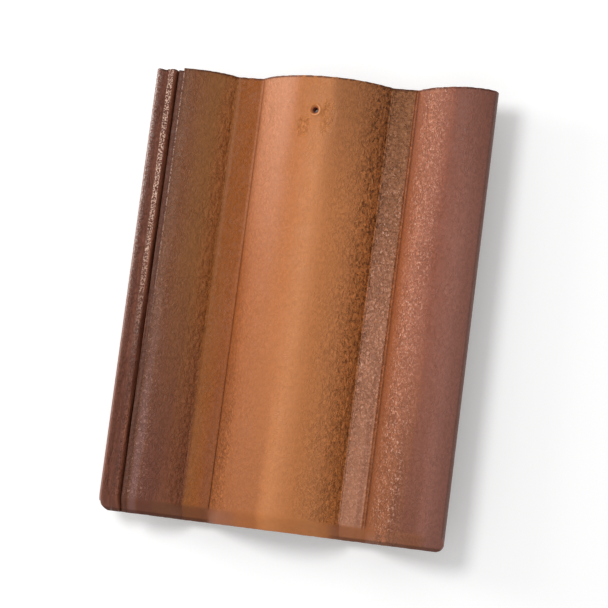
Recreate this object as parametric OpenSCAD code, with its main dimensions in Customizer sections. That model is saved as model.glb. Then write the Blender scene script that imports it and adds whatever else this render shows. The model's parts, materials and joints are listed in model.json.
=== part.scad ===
// Double-roll interlocking roof tile.
// X runs across the tile from the side lock to the overlap edge, Y runs up the slope
// from the nose to the head, and Z = 0 is the floor that the nibs and feet stand on.
// Sizes are in millimetres. Section heights are measured from the top of the flat pans.

/* [Tile] */
// Width that one tile covers on the roof, which is two rolls and two pans
cover_w = 302; // [250:1:360]
// Width of the overlap edge that lies on the next tile's side lock
lap_w = 28; // [26:0.5:32]
// Overall length, from the nose to the head
tile_l = 420; // [340:1:500]
// Thickness of the tile's wall
wall = 12; // [10:0.5:14]

/* [Rolls] */
// Width of a flat pan between two rolls
pan_w = 24; // [18:1:35]
// Rise of a roll's crest above the pans
roll_h = 33; // [26:1:38]
// How far the crest lies to the right of the roll's middle
crest_lean = 4; // [0:1:10]
// How far the middle roll lies to the right of the tile's centre line
rolls_shift = 0.5; // [0:0.5:3]

/* [Overlap edge] */
// Radius that turns the right roll down to its edge
lap_r = 32; // [29:1:38]
// Where that turn starts, measured in from the right edge
lap_start = 31; // [25:1:36]
// Rounding of the edge's upper arris
lip_round = 2; // [1:0.25:3]

/* [Side lock] */
// Rise of the left flank's crest above the pans
flank_h = 23; // [20:0.5:27]
// Crest of the left flank, measured in from the left edge
flank_in = 36; // [34:0.5:44]
// Open joint on the roof between the ridge and the next tile's overlap edge
joint_w = 2.5; // [1.5:0.5:4]
// Lean of the wall below the ridge
wall_lean = 1; // [0.5:0.25:3]
// Height of the ribs of the lock
rib_h = 15; // [13:0.5:17]
// Height of the left edge, beside the outer rib
edge_h = 10.5; // [8:0.5:12]
// Height of the floor of the channel between the two ribs
channel_h = 9.5; // [8:0.5:11]
// Height of the bottom of the drain slot
slot_h = 6.5; // [5:0.5:8]
// Height of the seat that carries the next tile's overlap edge
seat_h = 11.5; // [10:0.5:13]
// Middle of the outer rib, measured in from the left edge
outer_rib_in = 3.4; // [3:0.1:4]
// Middle of the channel, measured in from the left edge
channel_in = 8.6; // [8:0.1:10]
// Left arris of the inner rib's flat top, measured in from the left edge
inner_rib_in = 14; // [13:0.1:15]
// Width of the inner rib's flat top
inner_rib_w = 4; // [2:0.1:5]
// Bottom of the drain slot, measured in from the left edge
slot_in = 20.4; // [20:0.1:21.5]
// Start of the seat, measured in from the left edge
seat_in = 22; // [21.8:0.1:24]
// Thickness of the lock below its drain slot
lock_wall = 7.5; // [6:0.5:9]
// Play between this lock and the overlap edge of the next tile
lock_gap = 2; // [1.5:0.1:3]

/* [Nose] */
// Length of the slope at the nose
nose_len = 13.5; // [8:0.5:20]
// Depth of the slope at the nose
nose_drop = 8; // [5:0.5:9]
// Width of the cut at the nose's left corner
corner_cut_w = 7; // [4:0.5:9]
// Length of the cut at the nose's left corner
corner_cut_l = 9; // [5:0.5:12]
// Radius of the nose's right corner
corner_r = 10; // [6:0.5:13]

/* [Nail hole] */
// Diameter of the nail hole
nail_d = 5.2; // [4:0.1:7]
// Distance of the nail hole from the head
nail_from_head = 32.5; // [25:0.5:40]

/* [Underside] */
// How far the nibs and the feet stand below the pans
foot_drop = 12; // [10:0.5:16]
// Width of a hanging nib and of a foot
nib_w = 30; // [20:1:34]
// Length of a nib where it meets the pan
nib_root_l = 20; // [16:1:26]
// Length of a nib at its tip
nib_tip_l = 12; // [8:1:15]
// Distance of a nib from the head
nib_from_head = 2; // [0:0.5:8]
// Number of weather bars across the underside at the nose
bar_count = 2; // [1:1:4]
// Width of a weather bar
bar_w = 7; // [4:0.5:10]
// Height of a weather bar below the wall
bar_h = 4; // [3:0.5:5]
// Distance between the middles of two weather bars
bar_pitch = 20; // [14:1:30]
// Distance of the first weather bar from the nose
bar_from_nose = 8; // [6:0.5:14]

/* [Hidden] */

// Longest chord on a round stretch of the section
chord = 5;
// Number of rings that shape the nose
nose_rings = 6;
// Power of the nose's fall, where 1 is a straight slope
nose_curve = 1.3;
// Largest share of the wall that the slope of the nose may take
nose_share = 0.7;
// Angle of the slope under the ridge
base_slope = 52;
// Depth that a nib, foot or bar is sunk into the wall
sink = 3;
// Overrun of a cutting shape past the faces that it cuts
over = 1;
// Set of the right corner's rounding into the faces, so that it meets them at an arris
corner_arris = 0.5;

tile_w = cover_w + lap_w;
left_x = -tile_w / 2;
right_x = tile_w / 2;
nose_y = -tile_l / 2;
head_y = tile_l / 2;
roll_pitch = cover_w / 2;
roll_w = roll_pitch - pan_w;
pan_z = foot_drop + wall;

// A roll is two arcs that share a level tangent at the crest.
left_run = roll_w / 2 + crest_lean;
right_run = roll_w / 2 - crest_lean;
left_r = arch_radius(left_run, roll_h);
right_r = arch_radius(right_run, roll_h);

// The right roll turns down to its edge on a second arc.
lap_x = right_x - lap_start;
lap_turn = asin((crest_x(1) - lap_x) / left_r);
lap_c = [crest_x(1), roll_h - left_r] + (left_r - lap_r) * [-sin(lap_turn), cos(lap_turn)];

// The left flank is one arc from the ridge to the left pan.
flank_foot = rolls_shift - roll_w / 2 - pan_w;
flank_r = arch_radius(flank_foot - left_x - flank_in, flank_h);
flank_c = [left_x + flank_in, flank_h - flank_r];
ridge_x = left_x + lap_w + joint_w;
ridge_angle = acos((ridge_x - flank_c.x) / flank_r);

// Under the ridge the level bottom of the lock ends, and a slope meets the flank's underside.
lock_base = slot_h - lock_wall;
base_reach = let (
    from = [ridge_x, lock_base] - flank_c,
    along = [cos(base_slope), sin(base_slope)],
    lead = from * along)
    from + along * (sqrt(lead * lead - from * from + pow(flank_r - wall, 2)) - lead);
base_angle = atan2(base_reach.y, base_reach.x);

// The weather bars stop short of the next tile's lock.
bar_turn = asin((crest_x(1) - left_x - cover_w + bar_w) / (left_r - wall));

function crest_x(i) = rolls_shift + i * roll_pitch + crest_lean;
function arch_radius(run, rise) = (run * run + rise * rise) / (2 * rise);

// Points on an arc, as chords that stay short.
function arc(centre, r, from, to) =
    let (n = max(2, ceil(abs(to - from) * PI / 180 * r / chord)))
    [for (k = [0:n]) let (a = from + (to - from) * k / n) centre + r * [cos(a), sin(a)]];

// Points on a smooth wave from one level to the next, without the first one.
function wave(a, b, n = 5) =
    [for (k = [1:n]) [a.x + (b.x - a.x) * k / n, a.y + (b.y - a.y) * (1 - cos(180 * k / n)) / 2]];

// Points on a quarter of an ellipse that starts level, without the first one.
function shoulder(a, b, n = 5) =
    [for (k = [1:n]) [a.x + (b.x - a.x) * sin(90 * k / n), b.y + (a.y - b.y) * cos(90 * k / n)]];

// The two arcs of roll i, at a depth below its top face, from left to right.
function roll_left(i, depth) =
    let (c = [crest_x(i), roll_h - left_r], r = left_r - depth)
    arc(c, r, 180 - asin((-depth - c.y) / r), 90);
function roll_right(i, depth) =
    let (c = [crest_x(i), roll_h - right_r], r = right_r - depth)
    arc(c, r, 90, asin((-depth - c.y) / r));

// The left flank, at a depth below its top face, from an angle to its foot.
function flank(depth, from) =
    let (r = flank_r - depth)
    arc(flank_c, r, from, asin((-depth - flank_c.y) / r));

// The right roll up to an angle, at a depth below its top face.
function lap_rise(depth, to) =
    let (c = [crest_x(1), roll_h - left_r], r = left_r - depth)
    arc(c, r, 180 - asin((-depth - c.y) / r), 90 + to);

function tail(list) = [for (k = [1:len(list) - 1]) list[k]];
function reverse(list) = [for (k = [len(list) - 1:-1:0]) list[k]];
function shift(list, by) = [for (p = list) p + by];

// Corners of the side lock's profile.
edge = [left_x, edge_h];
outer_rib = [left_x + outer_rib_in, rib_h];
channel = [left_x + channel_in, channel_h];
inner_rib = [left_x + inner_rib_in, rib_h];
inner_rib_end = [left_x + inner_rib_in + inner_rib_w, rib_h];
slot = [left_x + slot_in, slot_h];
seat = [left_x + seat_in, seat_h];
seat_end = [ridge_x - wall_lean, seat_h];

// The two ribs and the channel between them, from the crest of the outer rib.
function lock_ribs() =
    concat([outer_rib], wave(outer_rib, channel), wave(channel, inner_rib), [inner_rib_end]);

// Angle where the upper arris of the overlap edge starts to round, and height where it ends.
lip_angle = acos((right_x - lip_round - lap_c.x) / lap_r);
lip_top = lap_c.y + sqrt(lap_r * lap_r - pow(right_x - lap_c.x, 2)) - lip_round;

// One cover width along and one gap higher, where the next tile's lock lies.
next_lock = [cover_w, lock_gap];

// Where the underside of the right roll ends, and the lock below it starts.
lap_lock_x = crest_x(1) - (left_r - wall) * sin(lap_turn) + over / 2;

// Top of the section, from the left edge to the overlap edge.
function top_line() = concat(
    [edge], wave(edge, outer_rib), tail(lock_ribs()),
    shoulder(inner_rib_end, slot), wave(slot, seat), [seat_end],
    flank(0, ridge_angle),
    roll_left(0, 0), tail(roll_right(0, 0)),
    lap_rise(0, lap_turn), tail(arc(lap_c, lap_r, 90 + lap_turn, lip_angle)),
    [[right_x, lip_top]]);

// Bottom of the section, from the left edge to the overlap edge. Under the overlap edge
// it follows the ribs of the next tile's lock, and then lies level above its seat.
function bottom_line() = concat(
    [for (x = [edge.x, channel.x, inner_rib.x, slot.x, seat.x, ridge_x]) [x, lock_base]],
    flank(wall, base_angle),
    roll_left(0, wall), tail(roll_right(0, wall)),
    lap_rise(wall, lap_turn),
    [for (p = shift(lock_ribs(), next_lock)) if (p.x > lap_lock_x) p],
    shift(wave(inner_rib_end, seat), next_lock),
    [[right_x, seat_h + lock_gap]]);

// The section's bottom between its two locks, at any depth below the wall.
function inner_line(depth) = concat(
    flank(wall + depth, 90),
    roll_left(0, wall + depth), tail(roll_right(0, wall + depth)),
    lap_rise(wall + depth, bar_turn));

function bottom_z(x) = lookup(x, bottom_line());

// Share of the nose's depth that is gone at a distance from the nose.
function nose_fall(d) = pow(max(0, 1 - d / nose_len), nose_curve);

// Top of the section at a distance from the nose.
function top_at(d) =
    [for (p = top_line()) [p.x, p.y - nose_fall(d) * min(nose_drop, nose_share * (p.y - bottom_z(p.x)))]];

// The section's outline as a ring at a distance from the nose.
function ring(d) = [for (p = concat(top_at(d), reverse(bottom_line()))) [p.x, nose_y + d, p.y]];

// Whether three points turn clockwise.
function clockwise(a, b, c) = (b.x - a.x) * (c.y - a.y) < (b.y - a.y) * (c.x - a.x);

// Triangles that fill an end between its top and its bottom, from left to right. Each
// one steps along the line that lags behind, where that triangle lies inside.
function fill(top, bottom, i = 0, j = 0) =
    let (
        n = len(top) + len(bottom),
        more_top = i < len(top) - 1,
        more_bottom = j < len(bottom) - 1,
        top_fits = more_top && clockwise(top[i], top[i + 1], bottom[j]),
        bottom_fits = more_bottom && clockwise(top[i], bottom[j + 1], bottom[j]),
        top_lags = more_top && more_bottom && top[i + 1].x < bottom[j + 1].x,
        step_top = top_fits && (!bottom_fits || top_lags))
    !more_top && !more_bottom ? []
    : step_top || !more_bottom ? concat([[i, i + 1, n - 1 - j]], fill(top, bottom, i + 1, j))
    : concat([[i, n - 2 - j, n - 1 - j]], fill(top, bottom, i, j + 1));

// The extruded shell with its sloped nose: a solid through rings of equal length.
module shell() {
    stations = concat([for (k = [0:nose_rings]) nose_len * k / nose_rings], [tile_l]);
    n = len(top_line()) + len(bottom_line());
    last = len(stations) - 1;
    polyhedron(
        points = [for (d = stations) each ring(d)],
        faces = concat(
            fill(top_at(0), bottom_line()),
            [for (j = [0:last - 1], k = [0:n - 1])
                let (a = j * n + k, b = j * n + (k + 1) % n) each [[a, a + n, b], [b, a + n, b + n]]],
            [for (f = fill(top_line(), bottom_line())) last * n * [1, 1, 1] + [f[2], f[1], f[0]]]));
}

// A hanging nib under a pan, square to the batten and sloped towards the head.
module nib(x) {
    root_y = head_y - nib_from_head;
    slope = nib_root_l - nib_tip_l;
    translate([x - nib_w / 2, 0, 0])
        rotate([90, 0, 90])
            linear_extrude(nib_w)
                polygon([
                    [root_y - nib_root_l, -wall + sink],
                    [root_y - nib_root_l, -wall - foot_drop],
                    [root_y - slope, -wall - foot_drop],
                    [root_y, -wall],
                    [root_y, -wall + sink]]);
}

// A foot under a pan: the first weather bar, taken down to the floor.
module foot(x) {
    translate([x - nib_w / 2, nose_y + bar_from_nose, -wall - foot_drop])
        cube([nib_w, bar_w, foot_drop + sink]);
}

// A weather bar, which follows the underside.
module weather_bar(y) {
    translate([0, y + bar_w, 0])
        rotate([90, 0, 0])
            linear_extrude(bar_w)
                polygon(concat(inner_line(-sink), reverse(inner_line(bar_h))));
}

// Cuts at the two corners of the nose, which run past its faces.
module corner_cuts() {
    low = -wall - foot_drop - over;
    deep = roll_h + 2 * wall + foot_drop;
    translate([left_x, nose_y, low])
        linear_extrude(deep)
            polygon([[-over, -over],
                [corner_cut_w * (1 + over / corner_cut_l), -over],
                [-over, corner_cut_l * (1 + over / corner_cut_w)]]);
    translate([right_x, nose_y, low])
        difference() {
            translate([-corner_r, -over, 0])
                cube([corner_r + over, corner_r + over, deep]);
            translate([corner_arris - corner_r, corner_r - corner_arris, -over])
                cylinder(r = corner_r, h = deep + 2 * over, $fn = 64);
        }
}

module nail_hole() {
    translate([0, head_y - nail_from_head, -wall])
        cylinder(d = nail_d, h = roll_h + 2 * wall, $fn = 48);
}

// Middle of the flat strip under each pan.
function pan_x(i) = rolls_shift + (i - 0.5) * roll_pitch;

module tile() {
    color("peru")
        translate([0, 0, pan_z])
            difference() {
                union() {
                    shell();
                    for (i = [0, 1]) {
                        nib(pan_x(i));
                        foot(pan_x(i));
                    }
                    for (k = [0:bar_count - 1])
                        weather_bar(nose_y + bar_from_nose + k * bar_pitch);
                }
                corner_cuts();
                nail_hole();
            }
}

tile();
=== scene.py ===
# %% [markdown]
# This lesson dresses a fired roof tile for a picture. The tile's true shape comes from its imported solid,
# which is loaded first and never changed. A copy of it then gets what a solid model leaves out: softened
# arrises, the relief of the pressed clay, and a coat that is shaded from brown to orange and rose.

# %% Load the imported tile
import json
import math

import bmesh
import bpy
from mathutils import Euler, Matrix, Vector

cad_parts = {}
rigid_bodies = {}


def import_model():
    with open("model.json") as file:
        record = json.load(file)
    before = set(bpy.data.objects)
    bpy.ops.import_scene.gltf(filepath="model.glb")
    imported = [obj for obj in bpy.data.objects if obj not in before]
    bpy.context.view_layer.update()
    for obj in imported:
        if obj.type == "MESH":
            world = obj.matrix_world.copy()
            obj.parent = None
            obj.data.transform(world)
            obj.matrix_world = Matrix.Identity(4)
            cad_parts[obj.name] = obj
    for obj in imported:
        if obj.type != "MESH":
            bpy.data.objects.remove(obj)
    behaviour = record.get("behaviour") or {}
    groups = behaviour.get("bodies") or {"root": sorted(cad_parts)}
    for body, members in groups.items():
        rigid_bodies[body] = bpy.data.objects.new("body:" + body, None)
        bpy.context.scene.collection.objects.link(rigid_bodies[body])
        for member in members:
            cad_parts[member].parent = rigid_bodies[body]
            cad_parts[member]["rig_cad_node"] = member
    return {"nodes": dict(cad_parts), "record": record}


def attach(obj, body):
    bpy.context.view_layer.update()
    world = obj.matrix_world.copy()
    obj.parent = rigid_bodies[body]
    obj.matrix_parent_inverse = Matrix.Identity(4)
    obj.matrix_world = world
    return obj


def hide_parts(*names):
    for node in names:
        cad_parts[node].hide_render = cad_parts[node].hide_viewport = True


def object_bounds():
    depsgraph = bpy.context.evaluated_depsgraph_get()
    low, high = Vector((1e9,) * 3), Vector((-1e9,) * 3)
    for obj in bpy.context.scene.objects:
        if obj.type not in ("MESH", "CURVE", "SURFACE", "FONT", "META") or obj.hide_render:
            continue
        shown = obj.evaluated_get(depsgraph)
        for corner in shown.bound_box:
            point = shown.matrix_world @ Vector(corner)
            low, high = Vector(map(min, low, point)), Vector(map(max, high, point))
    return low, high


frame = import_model()
cad_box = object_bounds()
print("packed tile from", tuple(cad_box[0]), "to", tuple(cad_box[1]))

# %% [markdown]
# The camera stands high above the tile, to its right and level with its nose, with a long lens, so the long
# edges stay almost parallel. Such a camera could be placed by eye. Fitting the tile's four edges and two of
# the creases beside the flat pans to the photograph is surer, and it gave the numbers below. The picture is
# square, so the sensor's width is also its height.

# %% Camera
MM = 0.001
CAMERA_AT = (0.56828, -0.21516, 2.05211)
CAMERA_TURN_DEG = (7.8495, 14.6564, 7.5775)
LENS_MM = 135.69
SENSOR_MM = 36.0

camera_data = bpy.data.cameras.new("photo_camera")
camera_data.lens = LENS_MM
camera_data.sensor_width = SENSOR_MM
camera = bpy.data.objects.new("photo_camera", camera_data)
camera.location = CAMERA_AT
camera.rotation_euler = Euler([math.radians(angle) for angle in CAMERA_TURN_DEG])
bpy.context.scene.collection.objects.link(camera)
bpy.context.scene.camera = camera
print("camera", round(camera.location.length, 3), "m from the tile's middle")

# %% [markdown]
# The studio is a pale room with two soft lamps. The room's even light fills the shadows. A wide lamp high
# at the upper left gives the floor its shadow on the right and below the nose. A smaller lamp stands low on
# the left: its light grazes the face, so that dents and wrinkles a few tenths of a millimetre deep show.
# One lamp from above would be simpler, but it would flatten them. Together the lights bring a level white
# sheet to about white and no further, so a colour comes out about as it is written.

# %% Room light and soft lamps
ROOM_LIGHT = 0.55
# A lamp's name, its place and its diameter in metres, and its power in watts
LAMPS = (("high_lamp", (-0.72, 0.55, 2.2), 0.9, 21.5),
         ("side_lamp", (-1.75, 0.45, 0.87), 0.7, 9.5))
WHITE = (1.0, 1.0, 1.0, 1.0)

room = bpy.data.worlds.new("pale_room")
room.use_nodes = True
room_background = room.node_tree.nodes["Background"]
room_background.inputs["Color"].default_value = WHITE
room_background.inputs["Strength"].default_value = ROOM_LIGHT
bpy.context.scene.world = room

for lamp_name, lamp_at, lamp_size, lamp_watts in LAMPS:
    lamp_data = bpy.data.lights.new(lamp_name, "AREA")
    lamp_data.shape = "DISK"
    lamp_data.size = lamp_size
    lamp_data.energy = lamp_watts
    lamp = bpy.data.objects.new(lamp_name, lamp_data)
    lamp.location = lamp_at
    lamp.rotation_euler = (-Vector(lamp_at)).to_track_quat("-Z", "Y").to_euler()
    bpy.context.scene.collection.objects.link(lamp)
    print(lamp_name, round(lamp.location.length, 2), "m away")
bpy.context.scene.view_settings.view_transform = "Standard"

# %% [markdown]
# A material is a tree of nodes. They could be added and linked one by one, in four or five lines each.
# Three helpers keep that short enough to read: one adds any node, one does a sum with two values, and one
# turns one range of values into another.

# %% Helpers for material nodes
def make(tree, kind, settings=(), inputs=()):
    """Adds a node, sets its properties, and sets or links its inputs."""
    made = tree.nodes.new(kind)
    for name, value in dict(settings).items():
        setattr(made, name, value)
    for name, value in dict(inputs).items():
        if isinstance(value, bpy.types.NodeSocket):
            tree.links.new(value, made.inputs[name])
        else:
            made.inputs[name].default_value = value
    return made


def math_node(tree, operation, one, other=0.0):
    """Does a sum with two values."""
    return make(tree, "ShaderNodeMath", {"operation": operation}, {0: one, 1: other}).outputs[0]


def mapped(tree, value, from_range, to_range, smooth=False):
    """Turns one range of values into another, in a straight line or with soft ends."""
    return make(tree, "ShaderNodeMapRange", {"interpolation_type": "SMOOTHSTEP" if smooth else "LINEAR"}, {
        "Value": value, "From Min": from_range[0], "From Max": from_range[1],
        "To Min": to_range[0], "To Max": to_range[1]}).outputs[0]


print("helpers for nodes are ready")

# %% [markdown]
# The floor is a wide white sheet. Paper reflects a little less than all the light, so a small glow is added
# for the rays that go straight to the camera or reach it by a mirror or through glass. More lamp light
# would whiten the floor too, but it would bleach the tile. Because the glow is small, the tile's shadow
# stays. Below the tile there is no glow, so the nail hole looks dark.

# %% White floor
FLOOR_SIZE = 8.0
FLOOR_COLOUR = (0.90, 0.90, 0.90, 1.0)
FLOOR_ROUGHNESS = 0.9
FLOOR_GLOW = 0.20
# Half the size of the patch below the tile that does not glow, and the width of its soft edge, in metres
SHADED_HALF = {"X": 0.13, "Y": 0.195}
SHADED_EDGE = 0.012

bpy.ops.object.select_all(action="DESELECT")
bpy.ops.mesh.primitive_plane_add(size=FLOOR_SIZE, location=(0, 0, 0))
floor = bpy.context.active_object
floor.name = "white_floor"
floor_paint = bpy.data.materials.new("white_sheet")
floor_paint.use_nodes = True
tree = floor_paint.node_tree
sheet = tree.nodes["Principled BSDF"]
sheet.inputs["Base Color"].default_value = FLOOR_COLOUR
sheet.inputs["Roughness"].default_value = FLOOR_ROUGHNESS
sheet.inputs["Specular IOR Level"].default_value = 0.0
sheet.inputs["Emission Color"].default_value = WHITE
rays = tree.nodes.new("ShaderNodeLightPath")
seen = math_node(tree, "MAXIMUM", rays.outputs["Is Camera Ray"], rays.outputs["Is Glossy Ray"])
seen = math_node(tree, "MAXIMUM", seen, rays.outputs["Is Transmission Ray"])
place = tree.nodes.new("ShaderNodeTexCoord").outputs["Object"]
parts = make(tree, "ShaderNodeSeparateXYZ", (), {0: place})
beside = []
for axis, half in SHADED_HALF.items():
    distance = math_node(tree, "ABSOLUTE", parts.outputs[axis])
    beside.append(mapped(tree, distance, (half, half + SHADED_EDGE), (0.0, FLOOR_GLOW)))
glow = math_node(tree, "MULTIPLY", seen, math_node(tree, "MAXIMUM", *beside))
tree.links.new(glow, sheet.inputs["Emission Strength"])
floor.data.materials.append(floor_paint)
print("floor", FLOOR_SIZE, "m wide")

# %% [markdown]
# The tile itself is one fired piece, so it stays one object. Its waves could be modelled again from a
# plane, but a copy of the solid already has every size right. The copy starts as loose triangles. Its
# points are merged and its triangles paired into quads, which follow the waves from nose to head.

# %% Copy the tile and merge it
MERGE = 0.001 * MM
FLAT_ENOUGH = math.radians(0.5)

bpy.ops.object.select_all(action="DESELECT")
solid = frame["nodes"]["tile"]
solid.select_set(True)
bpy.context.view_layer.objects.active = solid
bpy.ops.object.duplicate()
tile = bpy.context.active_object
tile.name = tile.data.name = "weathered_tile"
del tile["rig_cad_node"]

bpy.ops.mesh.customdata_custom_splitnormals_clear()
bpy.ops.object.mode_set(mode="EDIT")
bpy.ops.mesh.select_all(action="SELECT")
bpy.ops.mesh.remove_doubles(threshold=MERGE)
bpy.ops.mesh.select_all(action="SELECT")
bpy.ops.mesh.tris_convert_to_quads(face_threshold=FLAT_ENOUGH, shape_threshold=math.pi)
print("merged copy:", len(bmesh.from_edit_mesh(tile.data).verts), "points")

# %% [markdown]
# The nail hole was pushed through the wet body, and its fan of thin triangles would spoil the even mesh
# that the relief needs. It could be cut around with care, but closing it now and drilling it again at the
# end is simpler. The faces that touch its rim are deleted, and the gaps they leave are filled.

# %% Close the nail hole for now
mounts = {mount["name"]: mount for mount in frame["record"]["mounts"]}
nail_x, nail_y, nail_z = mounts["nail_hole"]["pos_m"]
nail_r = mounts["nail_hole"]["dims"]["r_mm"] * MM
rim_reach = nail_r + 0.05 * MM


def select_where(kind, test):
    """Selects the faces or edges of the tile in edit mode that pass a test, and counts them."""
    bpy.ops.mesh.select_mode(type=kind)
    bpy.ops.mesh.select_all(action="DESELECT")
    mesh = bmesh.from_edit_mesh(tile.data)
    elements = mesh.faces if kind == "FACE" else mesh.edges
    for element in elements:
        if test(element):
            element.select_set(True)
    bmesh.update_edit_mesh(tile.data)
    return sum(element.select for element in elements)


def from_nail(point):
    """How far a point lies from the nail hole's axis."""
    return math.hypot(point.x - nail_x, point.y - nail_y)


around_hole = select_where("FACE", lambda face: any(from_nail(vert.co) < rim_reach for vert in face.verts))
bpy.ops.mesh.delete(type="FACE")
bpy.ops.mesh.select_all(action="SELECT")
bpy.ops.mesh.fill_holes(sides=0)
print("hole closed,", around_hole, "faces taken")

# %% [markdown]
# Each patch over the closed hole is one face that bends along the roll. Joining the points that face each
# other across its length splits it into flat strips like its neighbours. Triangulating it would be quicker,
# but slanting edges would then show in the shading of the roll.

# %% Split the patches over the hole
SAME_PLACE = 0.05 * MM
LONG_WAY = 100 * MM
LEVEL_NORMAL = 0.9

bpy.ops.mesh.select_mode(type="VERT")
mesh = bmesh.from_edit_mesh(tile.data)
patches = [face for face in mesh.faces if len(face.verts) > 4 and abs(face.normal.z) > LEVEL_NORMAL]
pairs = []
for face in patches:
    for one in face.verts:
        for other in face.verts:
            apart = other.co - one.co
            joined = any(edge.other_vert(one) == other for edge in one.link_edges)
            if abs(apart.x) < SAME_PLACE and apart.y > LONG_WAY and not joined:
                pairs.append((one.index, other.index))
for one, other in pairs:
    bpy.ops.mesh.select_all(action="DESELECT")
    mesh = bmesh.from_edit_mesh(tile.data)
    mesh.verts.ensure_lookup_table()
    mesh.verts[one].select_set(True)
    mesh.verts[other].select_set(True)
    bmesh.update_edit_mesh(tile.data)
    bpy.ops.mesh.vert_connect()
print(len(patches), "patches split by", len(pairs), "lines")

# %% [markdown]
# The strips are as long as the tile, so they are cut into rows 6 mm apart. The flat pans and the flat
# stretches underneath are single wide strips, which are split across as well. The two cut ends become one
# face each, so that their rims can be softened next. Remeshing everything would give an even mesh too, but
# it would blur the arrises.

# %% Cut the strips into rows
ROW = 6 * MM
NOSE_SLOPE = 13.5 * MM
WIDE = 12 * MM
WIDE_CUTS = 4
LEVEL = 0.02 * MM

nose_y, head_y = cad_box[0][1], cad_box[1][1]
left_x, right_x = cad_box[0][0], cad_box[1][0]


def at_head(vert):
    return vert.co.y > head_y - LEVEL


def at_nose(vert):
    return vert.co.y < nose_y + LEVEL


def runs_across(edge):
    apart = edge.verts[1].co - edge.verts[0].co
    return abs(apart.x) > WIDE and abs(apart.y) < LEVEL


row_y = nose_y + NOSE_SLOPE + ROW
while row_y < head_y - ROW / 2:
    bpy.ops.mesh.select_all(action="SELECT")
    bpy.ops.mesh.bisect(plane_co=(0, row_y, 0), plane_no=(0, 1, 0))
    row_y += ROW
select_where("EDGE", lambda edge: runs_across(edge) and not edge.is_boundary)
bpy.ops.mesh.subdivide(number_cuts=WIDE_CUTS)
for at_end in (at_head, at_nose):
    select_where("FACE", lambda face: all(at_end(vert) for vert in face.verts))
    bpy.ops.mesh.dissolve_faces()
print("rows cut:", len(bmesh.from_edit_mesh(tile.data).faces), "faces")

# %% [markdown]
# No arris of a fired tile is razor-sharp. The rims of the two ends, the outer edges and the ridge beside
# the lock are bevelled by about half a millimetre, and so are the creases beside the pans, where the former
# leaves a fine line. A bevel node in the material would only fake this in the shading. Round arrises of
# real mesh catch the light from any side, which is what makes them show in a picture.

# %% Soften the arrises
ARRIS = 0.55 * MM
ARRIS_SEGMENTS = 2
SHARP = math.radians(30)
WALL = 12 * MM
SEAT_DEPTH = 9 * MM
LOCK_WIDTH = 29 * MM

pan_top_z = mounts["batten_seat_left"]["pos_m"][2] + WALL
lock_end = left_x + LOCK_WIDTH


def is_sharp(edge):
    return len(edge.link_faces) == 2 and edge.calc_face_angle(0) > SHARP


def runs_along(edge):
    apart = edge.verts[1].co - edge.verts[0].co
    return abs(apart.x) < LEVEL and abs(apart.y) > LEVEL


def on_outline(edge):
    one, other = edge.verts
    if at_head(one) and at_head(other) or at_nose(one) and at_nose(other):
        return True
    outer = all(vert.co.x < left_x + LEVEL or vert.co.x > right_x - LEVEL for vert in edge.verts)
    return outer and runs_along(edge)


def on_top_crease(edge):
    return runs_along(edge) and edge.link_faces[0].normal.z > 0 and all(
        vert.co.z > pan_top_z - SEAT_DEPTH for vert in edge.verts)


bevelled = select_where("EDGE", lambda edge: is_sharp(edge) and (
    on_outline(edge) or on_top_crease(edge) and edge.verts[0].co.x > lock_end))
bpy.ops.mesh.bevel(offset=ARRIS, segments=ARRIS_SEGMENTS, profile=0.5, affect="EDGES", clamp_overlap=True)
print("bevelled", bevelled, "edges")

# %% [markdown]
# The rolls of the real tile are smooth curves, and the solid shows them as chords. A subdivision surface
# rounds the chords of the rolls and of the lock's ribs, and halves the mesh for the relief. Edges that are
# still sharp are creased first, so that it leaves them where they are. The two ends are split into
# triangles, because one face with so many corners can not be subdivided well.

# %% Round the rolls
CREASED = math.radians(40)

select_where("FACE", lambda face: len(face.verts) > 4)
bpy.ops.mesh.quads_convert_to_tris(quad_method="BEAUTY", ngon_method="BEAUTY")
creased = select_where("EDGE", lambda edge: edge.calc_face_angle(0) > CREASED)
bpy.ops.transform.edge_crease(value=1.0)
bpy.ops.object.mode_set(mode="OBJECT")
rounder = tile.modifiers.new("rounder", "SUBSURF")
rounder.levels = rounder.render_levels = 1
bpy.ops.object.modifier_apply(modifier=rounder.name)
print("creased", creased, "edges; rounded mesh has", len(tile.data.polygons), "faces")

# %% [markdown]
# Three bands of the face carry the coarsest relief: the feet of the two rolls, where the wet body was
# dragged, and the right pan. Their mesh is halved once more, and finer still around the nail hole, so that
# dents a few millimetres wide can be real shape. Halving the whole tile again would make four times as many
# faces, most of them for nothing.

# %% Finer mesh where the relief is coarse
LEFT_PAN = (left_x + 78 * MM, left_x + 102 * MM)
RIGHT_PAN = (left_x + 229 * MM, left_x + 253 * MM)
FOOT_BANDS = ((LEFT_PAN[0] - 24 * MM, LEFT_PAN[0]), (RIGHT_PAN[0] - 26 * MM, RIGHT_PAN[1]))
NAIL_FIELD = 23 * MM
FACES_UP = 0.2

bpy.ops.object.mode_set(mode="EDIT")
select_where("FACE", lambda face: face.normal.z > FACES_UP and any(
    start < face.calc_center_median().x < end for start, end in FOOT_BANDS))
bpy.ops.mesh.subdivide(number_cuts=1)
select_where("FACE", lambda face: face.normal.z > FACES_UP and (
    from_nail(face.calc_center_median()) < NAIL_FIELD))
bpy.ops.mesh.subdivide(number_cuts=2)
bpy.ops.object.mode_set(mode="OBJECT")
print("finer mesh:", len(tile.data.polygons), "faces")

# %% [markdown]
# Relief could be sculpted by hand, but here it has to come out the same in every run. So it is pressed into
# the copy with Displace modifiers, each held to one region by a vertex group. Two helpers do that, and a
# few small functions say how strongly a point takes part: all of it inside a region, and less towards its
# border.

# %% Helpers for pressing relief
LEAST_WEIGHT = 0.001


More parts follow.
